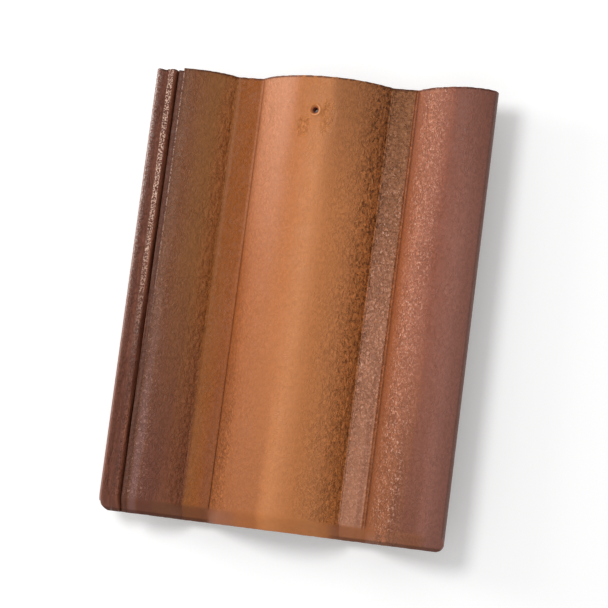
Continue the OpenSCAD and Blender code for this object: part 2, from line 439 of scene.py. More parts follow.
def weigh(name, weight):
    """Makes a vertex group whose weight at each point is given by a function."""
    region = tile.vertex_groups.new(name=name)
    for vert in tile.data.vertices:
        amount = weight(vert)
        if amount > LEAST_WEIGHT:
            region.add([vert.index], min(1.0, amount), "REPLACE")
    return region


def press(region, depth, texture=None, middle=1.0, along="NORMAL", stretch=None):
    """Moves the points of a region along their normals or an axis, by a texture where one is given."""
    mover = tile.modifiers.new(region.name, "DISPLACE")
    mover.vertex_group = region.name
    mover.strength = depth
    mover.mid_level = middle
    mover.direction = along
    mover.texture = texture
    mover.texture_coords = "LOCAL"
    if stretch:
        guide = bpy.data.objects.new("stretch_guide", None)
        guide.scale = stretch
        bpy.context.scene.collection.objects.link(guide)
        bpy.context.view_layer.update()
        mover.texture_coords = "OBJECT"
        mover.texture_coords_object = guide
    bpy.ops.object.modifier_apply(modifier=mover.name)
    if stretch:
        bpy.data.objects.remove(guide)


def fade(value, start, end):
    """Falls smoothly from 1 at the start to 0 at the end."""
    share = max(0.0, min(1.0, (end - value) / (end - start)))
    return share * share * (3 - 2 * share)


def band(value, start, end, soft):
    """Is 1 between two values and falls to 0 beside them."""
    return fade(abs(value - (start + end) / 2), (end - start) / 2 - soft, (end - start) / 2 + soft)


print("helpers for relief are ready")

# %% [markdown]
# Three functions say where the weathered face is. Its dents only go inward, so the dressed tile never grows
# past the solid. They fade out before the rims, where they would move the outline, and most of them also
# end above the wiped nose. A painted mask could say the same, but it would not follow a change of size.

# %% The open face
RIM_CLEAR = (1 * MM, 5 * MM)
NOSE_CLEAR = (13.5 * MM, 17 * MM)
FACE_TILT = (0.15, 0.45)


def off_rim(point):
    to_rim = min(point.y - nose_y, head_y - point.y, right_x - point.x)
    return fade(-to_rim, -RIM_CLEAR[1], -RIM_CLEAR[0])


def on_face(vert):
    return fade(-vert.normal.z, -FACE_TILT[1], -FACE_TILT[0]) * off_rim(vert.co)


def above_nose(vert):
    return on_face(vert) * fade(nose_y - vert.co.y, -NOSE_CLEAR[1], -NOSE_CLEAR[0])


bpy.ops.object.select_all(action="DESELECT")
tile.select_set(True)
bpy.context.view_layer.objects.active = tile
face_start = left_x + 30 * MM
open_face = weigh("open_face", lambda vert: on_face(vert) * (vert.co.x > face_start))
print("open face starts at", round(face_start / MM, 1), "mm")

# %% [markdown]
# First come the broad unevenness of a pressed face, the long dents along the feet of the rolls, where the
# body was dragged, and the pits of the right pan. Cloud textures drive them, because their lumps are as
# soft as wet clay. A stretched empty makes the dents long.

# %% Press the broad unevenness, the long dents and the pits
SEAM_CLEAR = 0.8 * MM


def clouds(name, size, depth=2):
    """A soft cloud texture with lumps of a given size in metres."""
    texture = bpy.data.textures.new(name, "CLOUDS")
    texture.noise_scale = size
    texture.noise_depth = depth
    texture.noise_basis = "IMPROVED_PERLIN"
    return texture


def at_foot(vert, pan, full, reach):
    """Falls from 1 beside a pan's left edge to 0 at a reach up the roll, and is 0 on the pan."""
    return fade(pan[0] - vert.co.x, full, reach) * (vert.co.x < pan[0] - SEAM_CLEAR)


press(open_face, 0.7 * MM, clouds("broad_unevenness", 35 * MM))
dents = weigh("dragged_feet", lambda vert: above_nose(vert) * max(
    at_foot(vert, LEFT_PAN, 4 * MM, 22 * MM), at_foot(vert, RIGHT_PAN, 6 * MM, 26 * MM)))
press(dents, 2.4 * MM, clouds("long_dents", 3.0 * MM, 1), stretch=(1.0, 1.8, 1.0))
pits = weigh("pitted_pan", lambda vert: above_nose(vert) * band(
    vert.co.x, RIGHT_PAN[0] + 2 * MM, RIGHT_PAN[1] - 2 * MM, 1.5 * MM))
press(pits, 1.2 * MM, clouds("pits", 2.8 * MM, 1))
print("pressed", len(tile.vertex_groups), "regions")

# %% [markdown]
# Where a roll meets a pan, the former leaves a fine seam. The left pan begins with a groove and a bead, and
# it ends with a bead and a groove. The right pan ends in a double groove. Lines in the bump alone would
# vanish at a low angle, so they are mesh. The beads stand proud of the pan, which lies far below the
# crests, so they stay inside the tile's box.

# %% Seams beside the pans
# A seam's name, its place across the tile, half its width, and its rise
SEAMS = (("bead_left", LEFT_PAN[0] + 0.9 * MM, 1.6 * MM, 0.45 * MM),
         ("groove_left", LEFT_PAN[0] - 0.8 * MM, 1.4 * MM, -0.6 * MM),
         ("bead_middle", LEFT_PAN[1] - 0.2 * MM, 1.2 * MM, 0.4 * MM),
         ("groove_middle", LEFT_PAN[1] + 2.2 * MM, 1.3 * MM, -0.7 * MM),
         ("groove_right_a", RIGHT_PAN[1] - 1.6 * MM, 1.0 * MM, -0.4 * MM),
         ("groove_right_b", RIGHT_PAN[1] + 0.2 * MM, 1.0 * MM, -0.6 * MM))

for seam_name, seam_x, half_width, rise in SEAMS:
    line = weigh(seam_name, lambda vert: above_nose(vert) * fade(abs(vert.co.x - seam_x), 0.0, half_width))
    press(line, rise, middle=0.0)
    print(seam_name, "at", round(seam_x / MM, 1), "mm")

# %% [markdown]
# The nail hole was pushed through the wet body by a pin. The pin leaves a small crater with a rolled-up rim
# and wrinkles in the skin around it. Sculpting could shape them, but rings of distance from the pin's axis
# do it exactly. The field around the hole is sunk a little first, so that the rim does not rise above the
# crest.

# %% Crater and wrinkles round the nail hole
# A wrinkled patch's place from the nail, to the right and towards the head, and half its size
WRINKLED_PATCHES = ((13 * MM, -6 * MM, 8 * MM, 20 * MM), (-10 * MM, -15 * MM, 8 * MM, 11 * MM))
NAIL_RIM = 5.0 * MM


def in_patch(vert, east, north, half_x, half_y):
    """Is 1 in the middle of an oval patch beside the nail hole and falls to 0 at its border."""
    off = math.hypot((vert.co.x - nail_x - east) / half_x, (vert.co.y - nail_y - north) / half_y)
    return on_face(vert) * fade(off, 0.4, 1.0)


nail_field = weigh("nail_field", lambda vert: on_face(vert) * fade(from_nail(vert.co), 9 * MM, NAIL_FIELD))
press(nail_field, -0.6 * MM, middle=0.0)
nail_rim = weigh("nail_rim", lambda vert: on_face(vert) * fade(
    abs(from_nail(vert.co) - NAIL_RIM), 0.2 * MM, 1.6 * MM))
press(nail_rim, 0.6 * MM, middle=0.0)
nail_dish = weigh("nail_dish", lambda vert: on_face(vert) * fade(from_nail(vert.co), 2.6 * MM, 4.4 * MM))
press(nail_dish, -1.4 * MM, middle=0.0)
wrinkles = weigh("wrinkles", lambda vert: max(in_patch(vert, *patch) for patch in WRINKLED_PATCHES))
press(wrinkles, 2.0 * MM, clouds("skin_wrinkles", 3.2 * MM, 1), stretch=(1.0, 1.5, 1.0))
print("crater round the nail hole at", (nail_x, nail_y))

# %% [markdown]
# The two cut ends are not dead straight. A cutter drags crumbs along, so the rims at head and nose are
# ragged by up to a millimetre. They are moved along the tile, and always inward, so the tile never gets
# longer than its solid.

# %% Ragged ends
RAGGED = (0.2 * MM, 2.2 * MM)

head_rim = weigh("head_rim", lambda vert: fade(head_y - vert.co.y, *RAGGED))
press(head_rim, 1.3 * MM, clouds("head_crumbs", 5 * MM), along="Y")
nose_rim = weigh("nose_rim", lambda vert: fade(vert.co.y - nose_y, *RAGGED))
press(nose_rim, 1.1 * MM, clouds("nose_crumbs", 7 * MM), middle=0.0, along="Y")
print("ends made ragged")

# %% [markdown]
# Last the nail hole is opened again with a cylinder of the mount's own radius, cut out with a Boolean. The
# exact solver is slower than the fast one, but it leaves a clean round rim in the pressed skin.

# %% Open the nail hole
PIN_SIDES = 40
PIN_LENGTH = 60 * MM
SMOOTH_BELOW = math.radians(38)

bpy.ops.object.select_all(action="DESELECT")
bpy.ops.mesh.primitive_cylinder_add(
    vertices=PIN_SIDES, radius=nail_r, depth=PIN_LENGTH, location=(nail_x, nail_y, nail_z))
pin = bpy.context.active_object
bpy.ops.object.select_all(action="DESELECT")
tile.select_set(True)
bpy.context.view_layer.objects.active = tile
cut = tile.modifiers.new("nail_pin", "BOOLEAN")
cut.operation = "DIFFERENCE"
cut.solver = "EXACT"
cut.object = pin
bpy.ops.object.modifier_apply(modifier=cut.name)
bpy.data.objects.remove(pin)
bpy.ops.object.shade_smooth_by_angle(angle=SMOOTH_BELOW)
print("finished mesh:", len(tile.data.polygons), "faces")

# %% [markdown]
# The coat covers only the face that the weather sees. Two materials could part it from the bare body, but
# their border would be a hard line. A point attribute says instead how much coat a point has: all of it on
# the face, less on the left side, and none on the underside and on the upright faces of the ends, nibs and
# feet. The bore is coated, as coat runs into it. The material reads the attribute by name.

# %% Mark where the coat lies
BARE_BELOW = pan_top_z - 11.5 * MM
SIDE_SKIN = 0.5 * MM
BORE_SKIN = 0.2 * MM
END_SKIN = (0.5 * MM, 1.6 * MM)
# How far a normal points along the tile on an upright end, and how far it points up or down where coat ends
UPRIGHT = 0.7
END_TILT = (0.3, 0.6)
SIDE_TILT = 0.5
UNDER_TILT = 0.25


def coat_share(vert):
    """How much coat a point has, from 0 on the bare body to 1 on the face."""
    upward = vert.normal.z
    if from_nail(vert.co) < nail_r + BORE_SKIN:
        return 1.0
    if vert.co.z < BARE_BELOW or abs(vert.normal.y) > UPRIGHT and upward < FACES_UP:
        return 0.0
    to_end = min(vert.co.y - nose_y, head_y - vert.co.y)
    off_end = fade(-to_end, -END_SKIN[1], -END_SKIN[0])
    share = fade(-upward, 0.0, UNDER_TILT) * max(off_end, fade(-upward, -END_TILT[1], -END_TILT[0]))
    if vert.co.x < left_x + SIDE_SKIN:
        share *= fade(-upward, -SIDE_TILT, 0.0)
    return share


coat = tile.data.attributes.new("coat", "FLOAT", "POINT")
for vert in tile.data.vertices:
    coat.data[vert.index].value = coat_share(vert)
print("coat on", round(sum(value.value for value in coat.data) / len(coat.data), 2), "of the points")

# %% [markdown]
# The material is built from small node groups. The first one is a soft band: it says how far a position
# lies inside two limits. Everything that runs along the tile, as sprays, seams and worn arrises do, is such
# a band, so the group is made once and placed many times.

# %% Soft band
def start_group(name, outputs, inputs=(), kind="NodeSocketFloat"):
    """Starts a shader node group and returns it with the sockets that it hands on."""
    tree = bpy.data.node_groups.new(name, "ShaderNodeTree")
    for socket in inputs:
        tree.interface.new_socket(name=socket, in_out="INPUT", socket_type="NodeSocketFloat")
    for socket in outputs:
        tree.interface.new_socket(name=socket, in_out="OUTPUT", socket_type=kind)
    return tree, tree.nodes.new("NodeGroupOutput").inputs


soft_band, out = start_group("soft_band", ("Mask",), ("Position", "Start", "End", "Soft"))
given = soft_band.nodes.new("NodeGroupInput").outputs
lower = math_node(soft_band, "SUBTRACT", given["Start"], given["Soft"])
upper = math_node(soft_band, "ADD", given["End"], given["Soft"])
rising = mapped(soft_band, given["Position"], (lower, given["Start"]), (0.0, 1.0), smooth=True)
falling = mapped(soft_band, given["Position"], (given["End"], upper), (1.0, 0.0), smooth=True)
soft_band.links.new(math_node(soft_band, "MULTIPLY", rising, falling), out["Mask"])


def banded(tree, position, start, end, soft):
    """A soft band of a position, in millimetres."""
    return make(tree, "ShaderNodeGroup", {"node_tree": soft_band}, {
        "Position": position, "Start": start * MM, "End": end * MM, "Soft": soft * MM}).outputs["Mask"]


print("soft band group with", len(soft_band.nodes), "nodes")

# %% [markdown]
# Masks are put together by a few more helpers. A mask is a value from 0 to 1 that says where an effect
# shows. Two masks multiplied show only where both do, and the larger of two shows where either does.
# Positions are in millimetres from the tile's middle: across it from the lock to the overlap edge, along it
# from nose to head.

# %% Helpers for masks
def axes(tree):
    """The object's own coordinates: whole, across the tile and along it."""
    place = tree.nodes.new("ShaderNodeTexCoord").outputs["Object"]
    parts = make(tree, "ShaderNodeSeparateXYZ", (), {0: place})
    return place, parts.outputs["X"], parts.outputs["Y"]


def noise(tree, vector, per_metre, detail=2.0, roughness=0.5, distortion=0.0):
    """A noise with about so many lumps in a metre."""
    return make(tree, "ShaderNodeTexNoise", (), {
        "Vector": vector, "Scale": per_metre, "Detail": detail, "Roughness": roughness,
        "Distortion": distortion}).outputs["Fac"]


def stepped(tree, value, start, end, high=1.0):
    """Rises smoothly from 0 at the start to its height at the end."""
    return mapped(tree, value, (start, end), (0.0, high), smooth=True)


def slope(tree, position, start, end, high=1.0):
    """Rises smoothly from 0 at the start to its height at the end, in millimetres."""
    return stepped(tree, position, start * MM, end * MM, high)


def times(tree, *masks):
    """Shows where all of the masks do."""
    product = masks[0]
    for mask in masks[1:]:
        product = math_node(tree, "MULTIPLY", product, mask)
    return product


def strongest(tree, *masks):
    """Shows where any of the masks does."""
    largest = masks[0]
    for mask in masks[1:]:
        largest = math_node(tree, "MAXIMUM", largest, mask)
    return largest


print("helpers for masks are ready")

# %% [markdown]
# How rough the face is differs across the tile, because the former drags the body more on slopes that turn
# away from its path. Painted weights could say it, but a black and white ramp across the width is easier to
# change: smooth on the crests, wrinkled on the left sides of the rolls, torn at their right feet and pitted
# on the right pan. The pin has wrinkled two patches beside the nail hole. Towards the nose the middle roll
# is wrinkled on its left and the right pan is calmer. The nose is wiped smooth, except on the right roll.

# %% Where the face is rough
PATCHES_PER_M = 45.0
# A stop's place across the tile, and how rough the face is there
ROUGHNESS = ((-165, 0.3), (-151, 0.9), (-147, 0.9), (-145, 0.3), (-134, 0.6), (-118, 0.4), (-100, 0.4),
             (-89, 0.65), (-87, 0.3), (-64, 0.3), (-54, 0.45), (-30, 0.22), (20, 0.15), (40, 0.5),
             (52, 0.9), (64, 1.0), (86, 0.95), (89, 0.2), (96, 0.6), (106, 0.9), (118, 0.65), (134, 0.3))
# The limits across and along the tile of the patches beside the nail hole
NAIL_PATCHES = ((10, 17, 158, 184), (-13, -6, 154, 169))


def ramp_across(tree, position, stops):
    """A colour ramp across the tile, with its stops in millimetres from the tile's middle."""
    share = mapped(tree, position, (left_x, right_x), (0.0, 1.0))
    ramp = make(tree, "ShaderNodeValToRGB", (), {0: share})
    while len(ramp.color_ramp.elements) < len(stops):
        ramp.color_ramp.elements.new(0.5)
    for element, (x_mm, shade) in zip(ramp.color_ramp.elements, stops):
        element.position = (x_mm * MM - left_x) / (right_x - left_x)
        element.color = shade
    return ramp.outputs["Color"]


rough_face, out = start_group("rough_face", ("Amount",))
place, across, along = axes(rough_face)
amount = ramp_across(rough_face, across, [(x_mm, (share, share, share, 1.0)) for x_mm, share in ROUGHNESS])
for start_x, end_x, start_y, end_y in NAIL_PATCHES:
    amount = strongest(rough_face, amount, times(
        rough_face, banded(rough_face, across, start_x, end_x, 4),
        banded(rough_face, along, start_y, end_y, 6), 0.55))
amount = strongest(rough_face, amount, times(
    rough_face, banded(rough_face, across, -60, -46, 6), slope(rough_face, along, 20, -140, 0.85)))
patchy = mapped(rough_face, noise(rough_face, place, PATCHES_PER_M), (0.3, 0.7), (0.6, 1.2))
off_nose = strongest(rough_face, slope(rough_face, along, -198, -194), slope(rough_face, across, 94, 102))
calm = times(rough_face, banded(rough_face, across, 64, 85, 2), slope(rough_face, along, -40, -170, 0.6))
stirred = math_node(rough_face, "SUBTRACT", 1.0, calm)
rough_face.links.new(times(rough_face, amount, patchy, off_nose, stirred), out["Amount"])
print("roughness from", len(ROUGHNESS), "stops")

# %% [markdown]
# The wrinkles are where a noise crosses its middle value: those lines wind like the skin of a slurry that
# dried while it was dragged. A cell texture has such lines too, but its cells are too regular. Half-way
# between the lines lie hollows. Both are handed on, because the wrinkles get a painted highlight and the
# hollows are darker, where the coat is thick.

# %% Wrinkles and hollows
WRINKLES_PER_M = 330.0
WRINKLE_EDGE = 0.07
HOLLOW_DEEP = 0.17


def stretched(tree, vector, factors):
    """Coordinates that make a pattern longer along the axes with small factors."""
    return make(tree, "ShaderNodeVectorMath", {"operation": "MULTIPLY"}, {0: vector, 1: factors}).outputs[0]


wrinkled, out = start_group("wrinkled_skin", ("Height", "Ridge", "Hollow", "Glint", "Torn"))
place, across, along = axes(wrinkled)
amount = make(wrinkled, "ShaderNodeGroup", {"node_tree": rough_face}).outputs["Amount"]
skin = noise(wrinkled, stretched(wrinkled, place, (1.0, 0.7, 1.0)), WRINKLES_PER_M, 2.0, 0.55, 0.6)
off_middle = math_node(wrinkled, "ABSOLUTE", math_node(wrinkled, "SUBTRACT", skin, 0.5))
ridge = mapped(wrinkled, off_middle, (0.0, WRINKLE_EDGE), (1.0, 0.0), smooth=True)
hollow = stepped(wrinkled, off_middle, WRINKLE_EDGE, HOLLOW_DEEP)
wrinkled.links.new(times(wrinkled, hollow, amount), out["Hollow"])
print("wrinkles and hollows with", len(wrinkled.nodes), "nodes")

# %% [markdown]
# At the right foot of the middle roll, and weakly at the foot of the left flank, the skin is torn into
# small pits, which sink in the bump and are coloured dark as painted shade. On the right pan near the head
# the wrinkles run across the pan and get painted shade instead of a painted highlight. Both are low spots
# of a noise, which a step turns into clear marks.

# %% Torn pits and cross wrinkles with painted shade
PITS_PER_M = 400.0
CROSS_WRINKLES_PER_M = 430.0

pits = noise(wrinkled, stretched(wrinkled, place, (1.0, 0.6, 1.0)), PITS_PER_M, 2.0, 0.6)
right_foot = times(wrinkled, banded(wrinkled, across, 55, 61.6, 11), slope(wrinkled, along, -400, 150))
left_foot = times(wrinkled, banded(wrinkled, across, -93, -89.5, 6), 0.35)
# The pits sink in the bump and are also darkened in colour as painted shade
torn_pits_and_shade = times(wrinkled, stepped(wrinkled, pits, 0.44, 0.385), strongest(wrinkled, right_foot, left_foot),
             slope(wrinkled, along, -199, -195))
# Painted shade on the right pan's cross wrinkles near the head
shaded_wrinkle_zone = times(wrinkled, banded(wrinkled, across, 64, 84, 1), slope(wrinkled, along, -80, 150, 0.7))
crossing = noise(wrinkled, stretched(wrinkled, place, (0.6, 1.0, 1.0)), CROSS_WRINKLES_PER_M, 2.0, 0.6)
torn_pits_and_shade = strongest(wrinkled, torn_pits_and_shade, times(wrinkled, stepped(wrinkled, crossing, 0.47, 0.4), shaded_wrinkle_zone, 0.75))
wrinkled.links.new(torn_pits_and_shade, out["Torn"])
print("torn pits bring the skin to", len(wrinkled.nodes), "nodes")

# %% [markdown]
# The height for the bump adds it all up: wrinkles rise, hollows and pits sink, and fine grain lies
# everywhere. On the right pan, on the right roll and beside the lock some wrinkles get painted glints:
# cream specks that stand in for highlights. They are picked out of the wrinkles by a second noise.

# %% Height and painted glints
GRAINS_PER_M = 850.0
GRAIN_HEIGHT = 0.35
PIT_DEPTH = 1.4
PAINTED_GLINTS_PER_M = 520.0

bumpy = times(wrinkled, math_node(wrinkled, "SUBTRACT", ridge, hollow), amount)
grains = times(wrinkled, noise(wrinkled, place, GRAINS_PER_M, 2.0, 0.6), GRAIN_HEIGHT)
grainy = math_node(wrinkled, "ADD", bumpy, grains)
height = math_node(wrinkled, "SUBTRACT", grainy, times(wrinkled, torn_pits_and_shade, PIT_DEPTH))
wrinkled.links.new(height, out["Height"])
# The wrinkles' ridges are handed on for a painted highlight in the colour
highlit_wrinkle_zone = math_node(wrinkled, "SUBTRACT", 1.0, shaded_wrinkle_zone)
wrinkled.links.new(times(wrinkled, ridge, amount, highlit_wrinkle_zone), out["Ridge"])
# Painted glints: cream specks on the wrinkles that stand in for highlights
painted_glint_specks = stepped(wrinkled, noise(wrinkled, place, PAINTED_GLINTS_PER_M, 2.0, 0.6), 0.51, 0.57)
painted_glint_zones = strongest(
    wrinkled,
    times(wrinkled, banded(wrinkled, across, 65, 84, 2), slope(wrinkled, along, 230, 60, 0.9)),
    banded(wrinkled, across, 99, 117, 13),
    times(wrinkled, banded(wrinkled, across, -133, -122, 6), slope(wrinkled, along, 150, -150, 0.55)))
off_nose = slope(wrinkled, along, -203, -190)
wrinkled.links.new(times(wrinkled, ridge, painted_glint_specks, painted_glint_zones, amount, off_nose), out["Glint"])
print("wrinkled skin group with", len(wrinkled.nodes), "nodes")

# %% [markdown]
# The tile is coloured while it passes under spray guns: brown on the left, orange over the middle roll, and
# rose to plum on the right roll. They could be painted on a picture, but the mesh would have to be unfolded
# for it. One ramp across the tile holds them as plain numbers. The bands wander a little along the tile, as
# a spray does, so a noise shifts the position that the ramp reads.

# %% Sprayed colours
WANDER = 5 * MM
DRIFTS_PER_M = 28.0
# A stop's place across the tile, and its colour as read on a screen
# In the lock two stops paint light and shade: the rib's shaded right wall at -145.6 is   lighter, and the slot at -143.2 is darker as painted shade.
SPRAYS = ((-165, (136, 88, 72)), (-157, (138, 89, 72)), (-152, (100, 58, 44)), (-147.4, (112, 66, 50)),
          (-145.6, (156, 97, 72)), (-143.2, (86, 44, 28)), (-141.5, (114, 71, 53)), (-138, (92, 51, 36)),
          (-130, (118, 74, 47)), (-122, (117, 67, 35)), (-100, (146, 95, 53)), (-92, (162, 101, 56)),
          (-86, (149, 87, 36)), (-68, (146, 75, 16)), (-56, (162, 91, 46)), (-46, (176, 104, 60)),
          (-26, (178, 106, 59)), (-10, (188, 113, 60)), (6, (198, 126, 74)), (24, (187, 116, 65)),
          (44, (188, 120, 71)), (60, (178, 109, 57)), (92, (164, 93, 55)), (106, (181, 115, 88)),
          (130, (138, 79, 59)), (140, (137, 82, 64)), (150, (144, 93, 79)), (165, (136, 87, 73)))


def colour(red, green, blue):
    """A colour as it is read on a screen, from 0 to 255, in the linear values that shaders use."""
    linear = []
    for part in (red / 255, green / 255, blue / 255):
        linear.append(part / 12.92 if part < 0.04045 else ((part + 0.055) / 1.055) ** 2.4)
    return (*linear, 1.0)


sprayed, out = start_group("sprayed_colours", ("Colour",), kind="NodeSocketColor")
place, across, along = axes(sprayed)
drift = noise(sprayed, stretched(sprayed, place, (1.0, 0.35, 1.0)), DRIFTS_PER_M)
drift_x = mapped(sprayed, drift, (0.0, 1.0), (-WANDER, WANDER))
wandered = math_node(sprayed, "ADD", across, drift_x)
tint = ramp_across(sprayed, wandered, [(x_mm, colour(*shade)) for x_mm, shade in SPRAYS])
print("sprayed colours from", len(SPRAYS), "stops")

# %% [markdown]
# The colours also change along the tile, where a gun opened or closed: the left flank is greyer and darker
# towards the nose. A lighter band on the left of the middle roll near the head is painted sheen. Each
# change is a band of one colour that grows from one place along the tile to another. Most of them wander
# with the sprays. Those on the pans and on the sloped nose stay in place, because the shape of the tile
# ends them.

# %% Colours that change along the tile
# The start, end and softness of a band, where it begins to show along the tile and where it is strongest,
# its strength, and its colour. A band that is strongest beyond the nose shows all along.
WANDERING_BANDS = (
    # The first band is painted sheen on the left of the middle roll near the head
    (-50, -34, 22, -40, 215, 1.0, (204, 136, 99)), (22, 66, 14, 60, 215, 0.75, (148, 93, 54)),
    (-66, -54, 10, 20, -200, 0.8, (136, 76, 40)), (-54, -10, 10, 0, -200, 0.7, (163, 97, 54)),
    (136, 170, 10, 60, 205, 0.65, (120, 73, 58)), (90, 124, 8, 40, -200, 0.85, (152, 92, 58)),
    (118, 138, 8, -20, -200, 0.7, (118, 69, 50)), (90, 99, 6, 40, 200, 0.6, (168, 107, 84)),
    (-12, 6, 10, 120, 200, 0.6, (176, 108, 56)), (-122, -106, 6, 60, -200, 0.8, (106, 60, 49)),
    (-104, -91, 7, 60, -200, 0.85, (130, 78, 56)), (-131, -128, 4, 80, -200, 0.85, (122, 82, 76)))
FIXED_BANDS = (
    (-84, -64.2, 1.2, -80, 110, 0.8, (146, 76, 4)), (63.2, 83.8, 0.8, -230, -220, 1.0, (180, 122, 92)),
    (63.2, 83.8, 0.8, -20, 200, 0.9, (157, 103, 65)), (79, 82, 2, 0, -110, 0.6, (150, 96, 72)),
    (60, 92, 6, -194, -198, 0.9, (160, 98, 62)), (116, 144, 8, -194, -198, 0.6, (142, 88, 58)),
    (-106, -60, 12, -194, -198, 0.6, (112, 68, 46)), (-56, -36, 12, -194, -198, 0.6, (146, 88, 60)))


def over(tree, mask, under, top):
    """Lays one colour over another where the mask is 1."""
    # A Mix node has sockets for values, vectors and colours side by side, so those for colours go by number
    return make(tree, "ShaderNodeMix", {"data_type": "RGBA"}, {0: mask, 6: under, 7: top}).outputs[2]


for position, bands in ((wandered, WANDERING_BANDS), (across, FIXED_BANDS)):
    for start, end, soft, opens, full, strength, shade in bands:
        mask = times(sprayed, banded(sprayed, position, start, end, soft),
                     slope(sprayed, along, opens, full, strength))
        tint = over(sprayed, mask, tint, colour(*shade))
print("bands along the tile:", len(WANDERING_BANDS) + len(FIXED_BANDS))

# %% [markdown]
# The pin pushed a burr up around the nail hole, and a painted highlight lies on its lower right side; the
# pit itself is brown. The pit is a disc of distance from the nail. The highlight is a crescent: a larger
# disc less a second one that lies off its middle. Last a fine mottle makes every colour a little uneven, as
# a sprayed slurry is.

# %% Nail pit, burr highlight and mottle
# Where the discs' colours fade, in millimetres from their middles
PIT_DISC = (3.8, 2.9)
BURR_DISC = (5.4, 4.6)
BURR_LESS = (4.2, 5.2)
BURR_LESS_OFF = (-1.5 * MM, 1.0 * MM)
BURR_STRENGTH = 0.8
BURR_HIGHLIGHT = (232, 164, 116)
PIT_COLOUR = (150, 80, 46)
MOTTLES_PER_M = 260.0


def from_point(x, y):
    """The distance from an upright line through a point, in metres."""
    return make(sprayed, "ShaderNodeVectorMath", {"operation": "DISTANCE"}, {
        0: flat_place, 1: (x, y, 0.0)}).outputs["Value"]


def scaled(tree, shade, factor):
    """Makes a colour lighter or darker by a factor."""
    return make(tree, "ShaderNodeVectorMath", {"operation": "SCALE"}, {
        0: shade, "Scale": factor}).outputs[0]


flat_place = stretched(sprayed, place, (1.0, 1.0, 0.0))
off_nail = from_point(nail_x, nail_y)
off_less = from_point(nail_x + BURR_LESS_OFF[0], nail_y + BURR_LESS_OFF[1])
# Painted highlight: a crescent on the burr's lower right side
burr_highlight = times(sprayed, slope(sprayed, off_nail, *BURR_DISC),
                slope(sprayed, off_less, *BURR_LESS, BURR_STRENGTH))
tint = over(sprayed, burr_highlight, tint, colour(*BURR_HIGHLIGHT))
tint = over(sprayed, slope(sprayed, off_nail, *PIT_DISC), tint, colour(*PIT_COLOUR))
mottle = mapped(sprayed, noise(sprayed, place, MOTTLES_PER_M, 4.0, 0.65), (0.3, 0.7), (0.94, 1.06))
sprayed.links.new(scaled(sprayed, tint, mottle), out["Colour"])
print("sprayed colours group with", len(sprayed.nodes), "nodes")

# %% [markdown]
# Painted shade lies as dark lines in the grooves beside the pans, along the overlap edge and along the rims
# at head and nose. Shade in the hollows could be worked out from the mesh, but these lines follow the
# former, so their places are given. All are one mask, the strongest line at each point, and noise breaks
# the head's rim.

# %% Painted shade lines
SHADE_BREAKS_PER_M = 300.0
# The start, end and softness of a painted shade line across the tile, and its strength at nose and head
PAINTED_SHADE_LINES = ((-89.4, -88.6, 0.8, 0.05, 0.05), (-61.2, -60.2, 1.0, 0.75, 0.3), (85.0, 85.6, 0.5, 0.5, 0.6),
              (87.8, 88.4, 0.6, 0.4, 0.4), (60.4, 61.8, 1.0, 0.15, 0.15), (163.6, 170, 0.8, 0.4, 0.4))

dark_lines, out = start_group("dark_lines", ("Dark",))
place, across, along = axes(dark_lines)
shade_breaks = stepped(dark_lines, noise(dark_lines, place, SHADE_BREAKS_PER_M), 0.3, 0.5)
head_line = times(dark_lines, slope(dark_lines, along, 206.9, 208.4, 0.75), shade_breaks)
beside_middle = strongest(
    dark_lines, banded(dark_lines, across, 70, 170, 20), banded(dark_lines, across, -170, -70, 20))
nose_line = times(dark_lines, slope(dark_lines, along, -205.6, -207.2, 0.6), beside_middle)
# Painted shade: dark lines at the rims, in the grooves and along the overlap edge
painted_shade = strongest(dark_lines, head_line, nose_line)
off_nose = slope(dark_lines, along, -199, -195)
for start, end, soft, at_nose_end, at_head_end in PAINTED_SHADE_LINES:
    depth = mapped(dark_lines, along, (nose_y, head_y), (at_nose_end, at_head_end))
    painted_shade = strongest(dark_lines, painted_shade, times(
        dark_lines, banded(dark_lines, across, start, end, soft), off_nose, depth))
dark_lines.links.new(painted_shade, out["Dark"])
print(len(PAINTED_SHADE_LINES), "dark lines")

# %% [markdown]
# The ridge beside the lock and the lock's inner rib get a painted highlight, a light, grainy line that
# fades from head to nose, and the beads get a faint painted highlight. The left edge is rubbed to the grey
# body in specks. A mask by curvature would find these arrises, and all the others too, which have no such
# line on this tile.

# %% Painted highlights and the rubbed edge
SPECKS_PER_M = 780.0
DASHES_PER_M = 600.0
# The start, end, softness and strength of the painted highlights on the beads
HIGHLIT_BEADS = ((-87.2, -83.6, 0.8, 0.05), (-63.8, -62.8, 0.6, 0.05))

worn_lines, out = start_group("worn_lines", ("Worn", "Rubbed"))
place, across, along = axes(worn_lines)
to_head = slope(worn_lines, along, -110, 115)
specks = stepped(worn_lines, noise(worn_lines, place, SPECKS_PER_M, 2.0, 0.6), 0.49, 0.58)
dashes = stepped(worn_lines, noise(worn_lines, place, DASHES_PER_M), 0.42, 0.55, 0.45)
# Painted highlights on the ridge beside the lock and on the lock's inner rib
on_ridge = times(worn_lines, banded(worn_lines, across, -135.0, -133.8, 0.4), to_head, dashes)
on_rib = times(worn_lines, banded(worn_lines, across, -152.0, -147.5, 0.8), to_head, specks, 0.95)
light_lines = strongest(worn_lines, on_ridge, on_rib)
for start, end, soft, strength in HIGHLIT_BEADS:
    light_lines = strongest(worn_lines, light_lines, times(
        worn_lines, banded(worn_lines, across, start, end, soft), to_head, strength))
worn_lines.links.new(light_lines, out["Worn"])
on_edge = banded(worn_lines, across, -170, -162.6, 5)
worn_lines.links.new(times(worn_lines, on_edge, specks, to_head), out["Rubbed"])
print("worn lines group with", len(worn_lines.nodes), "nodes")

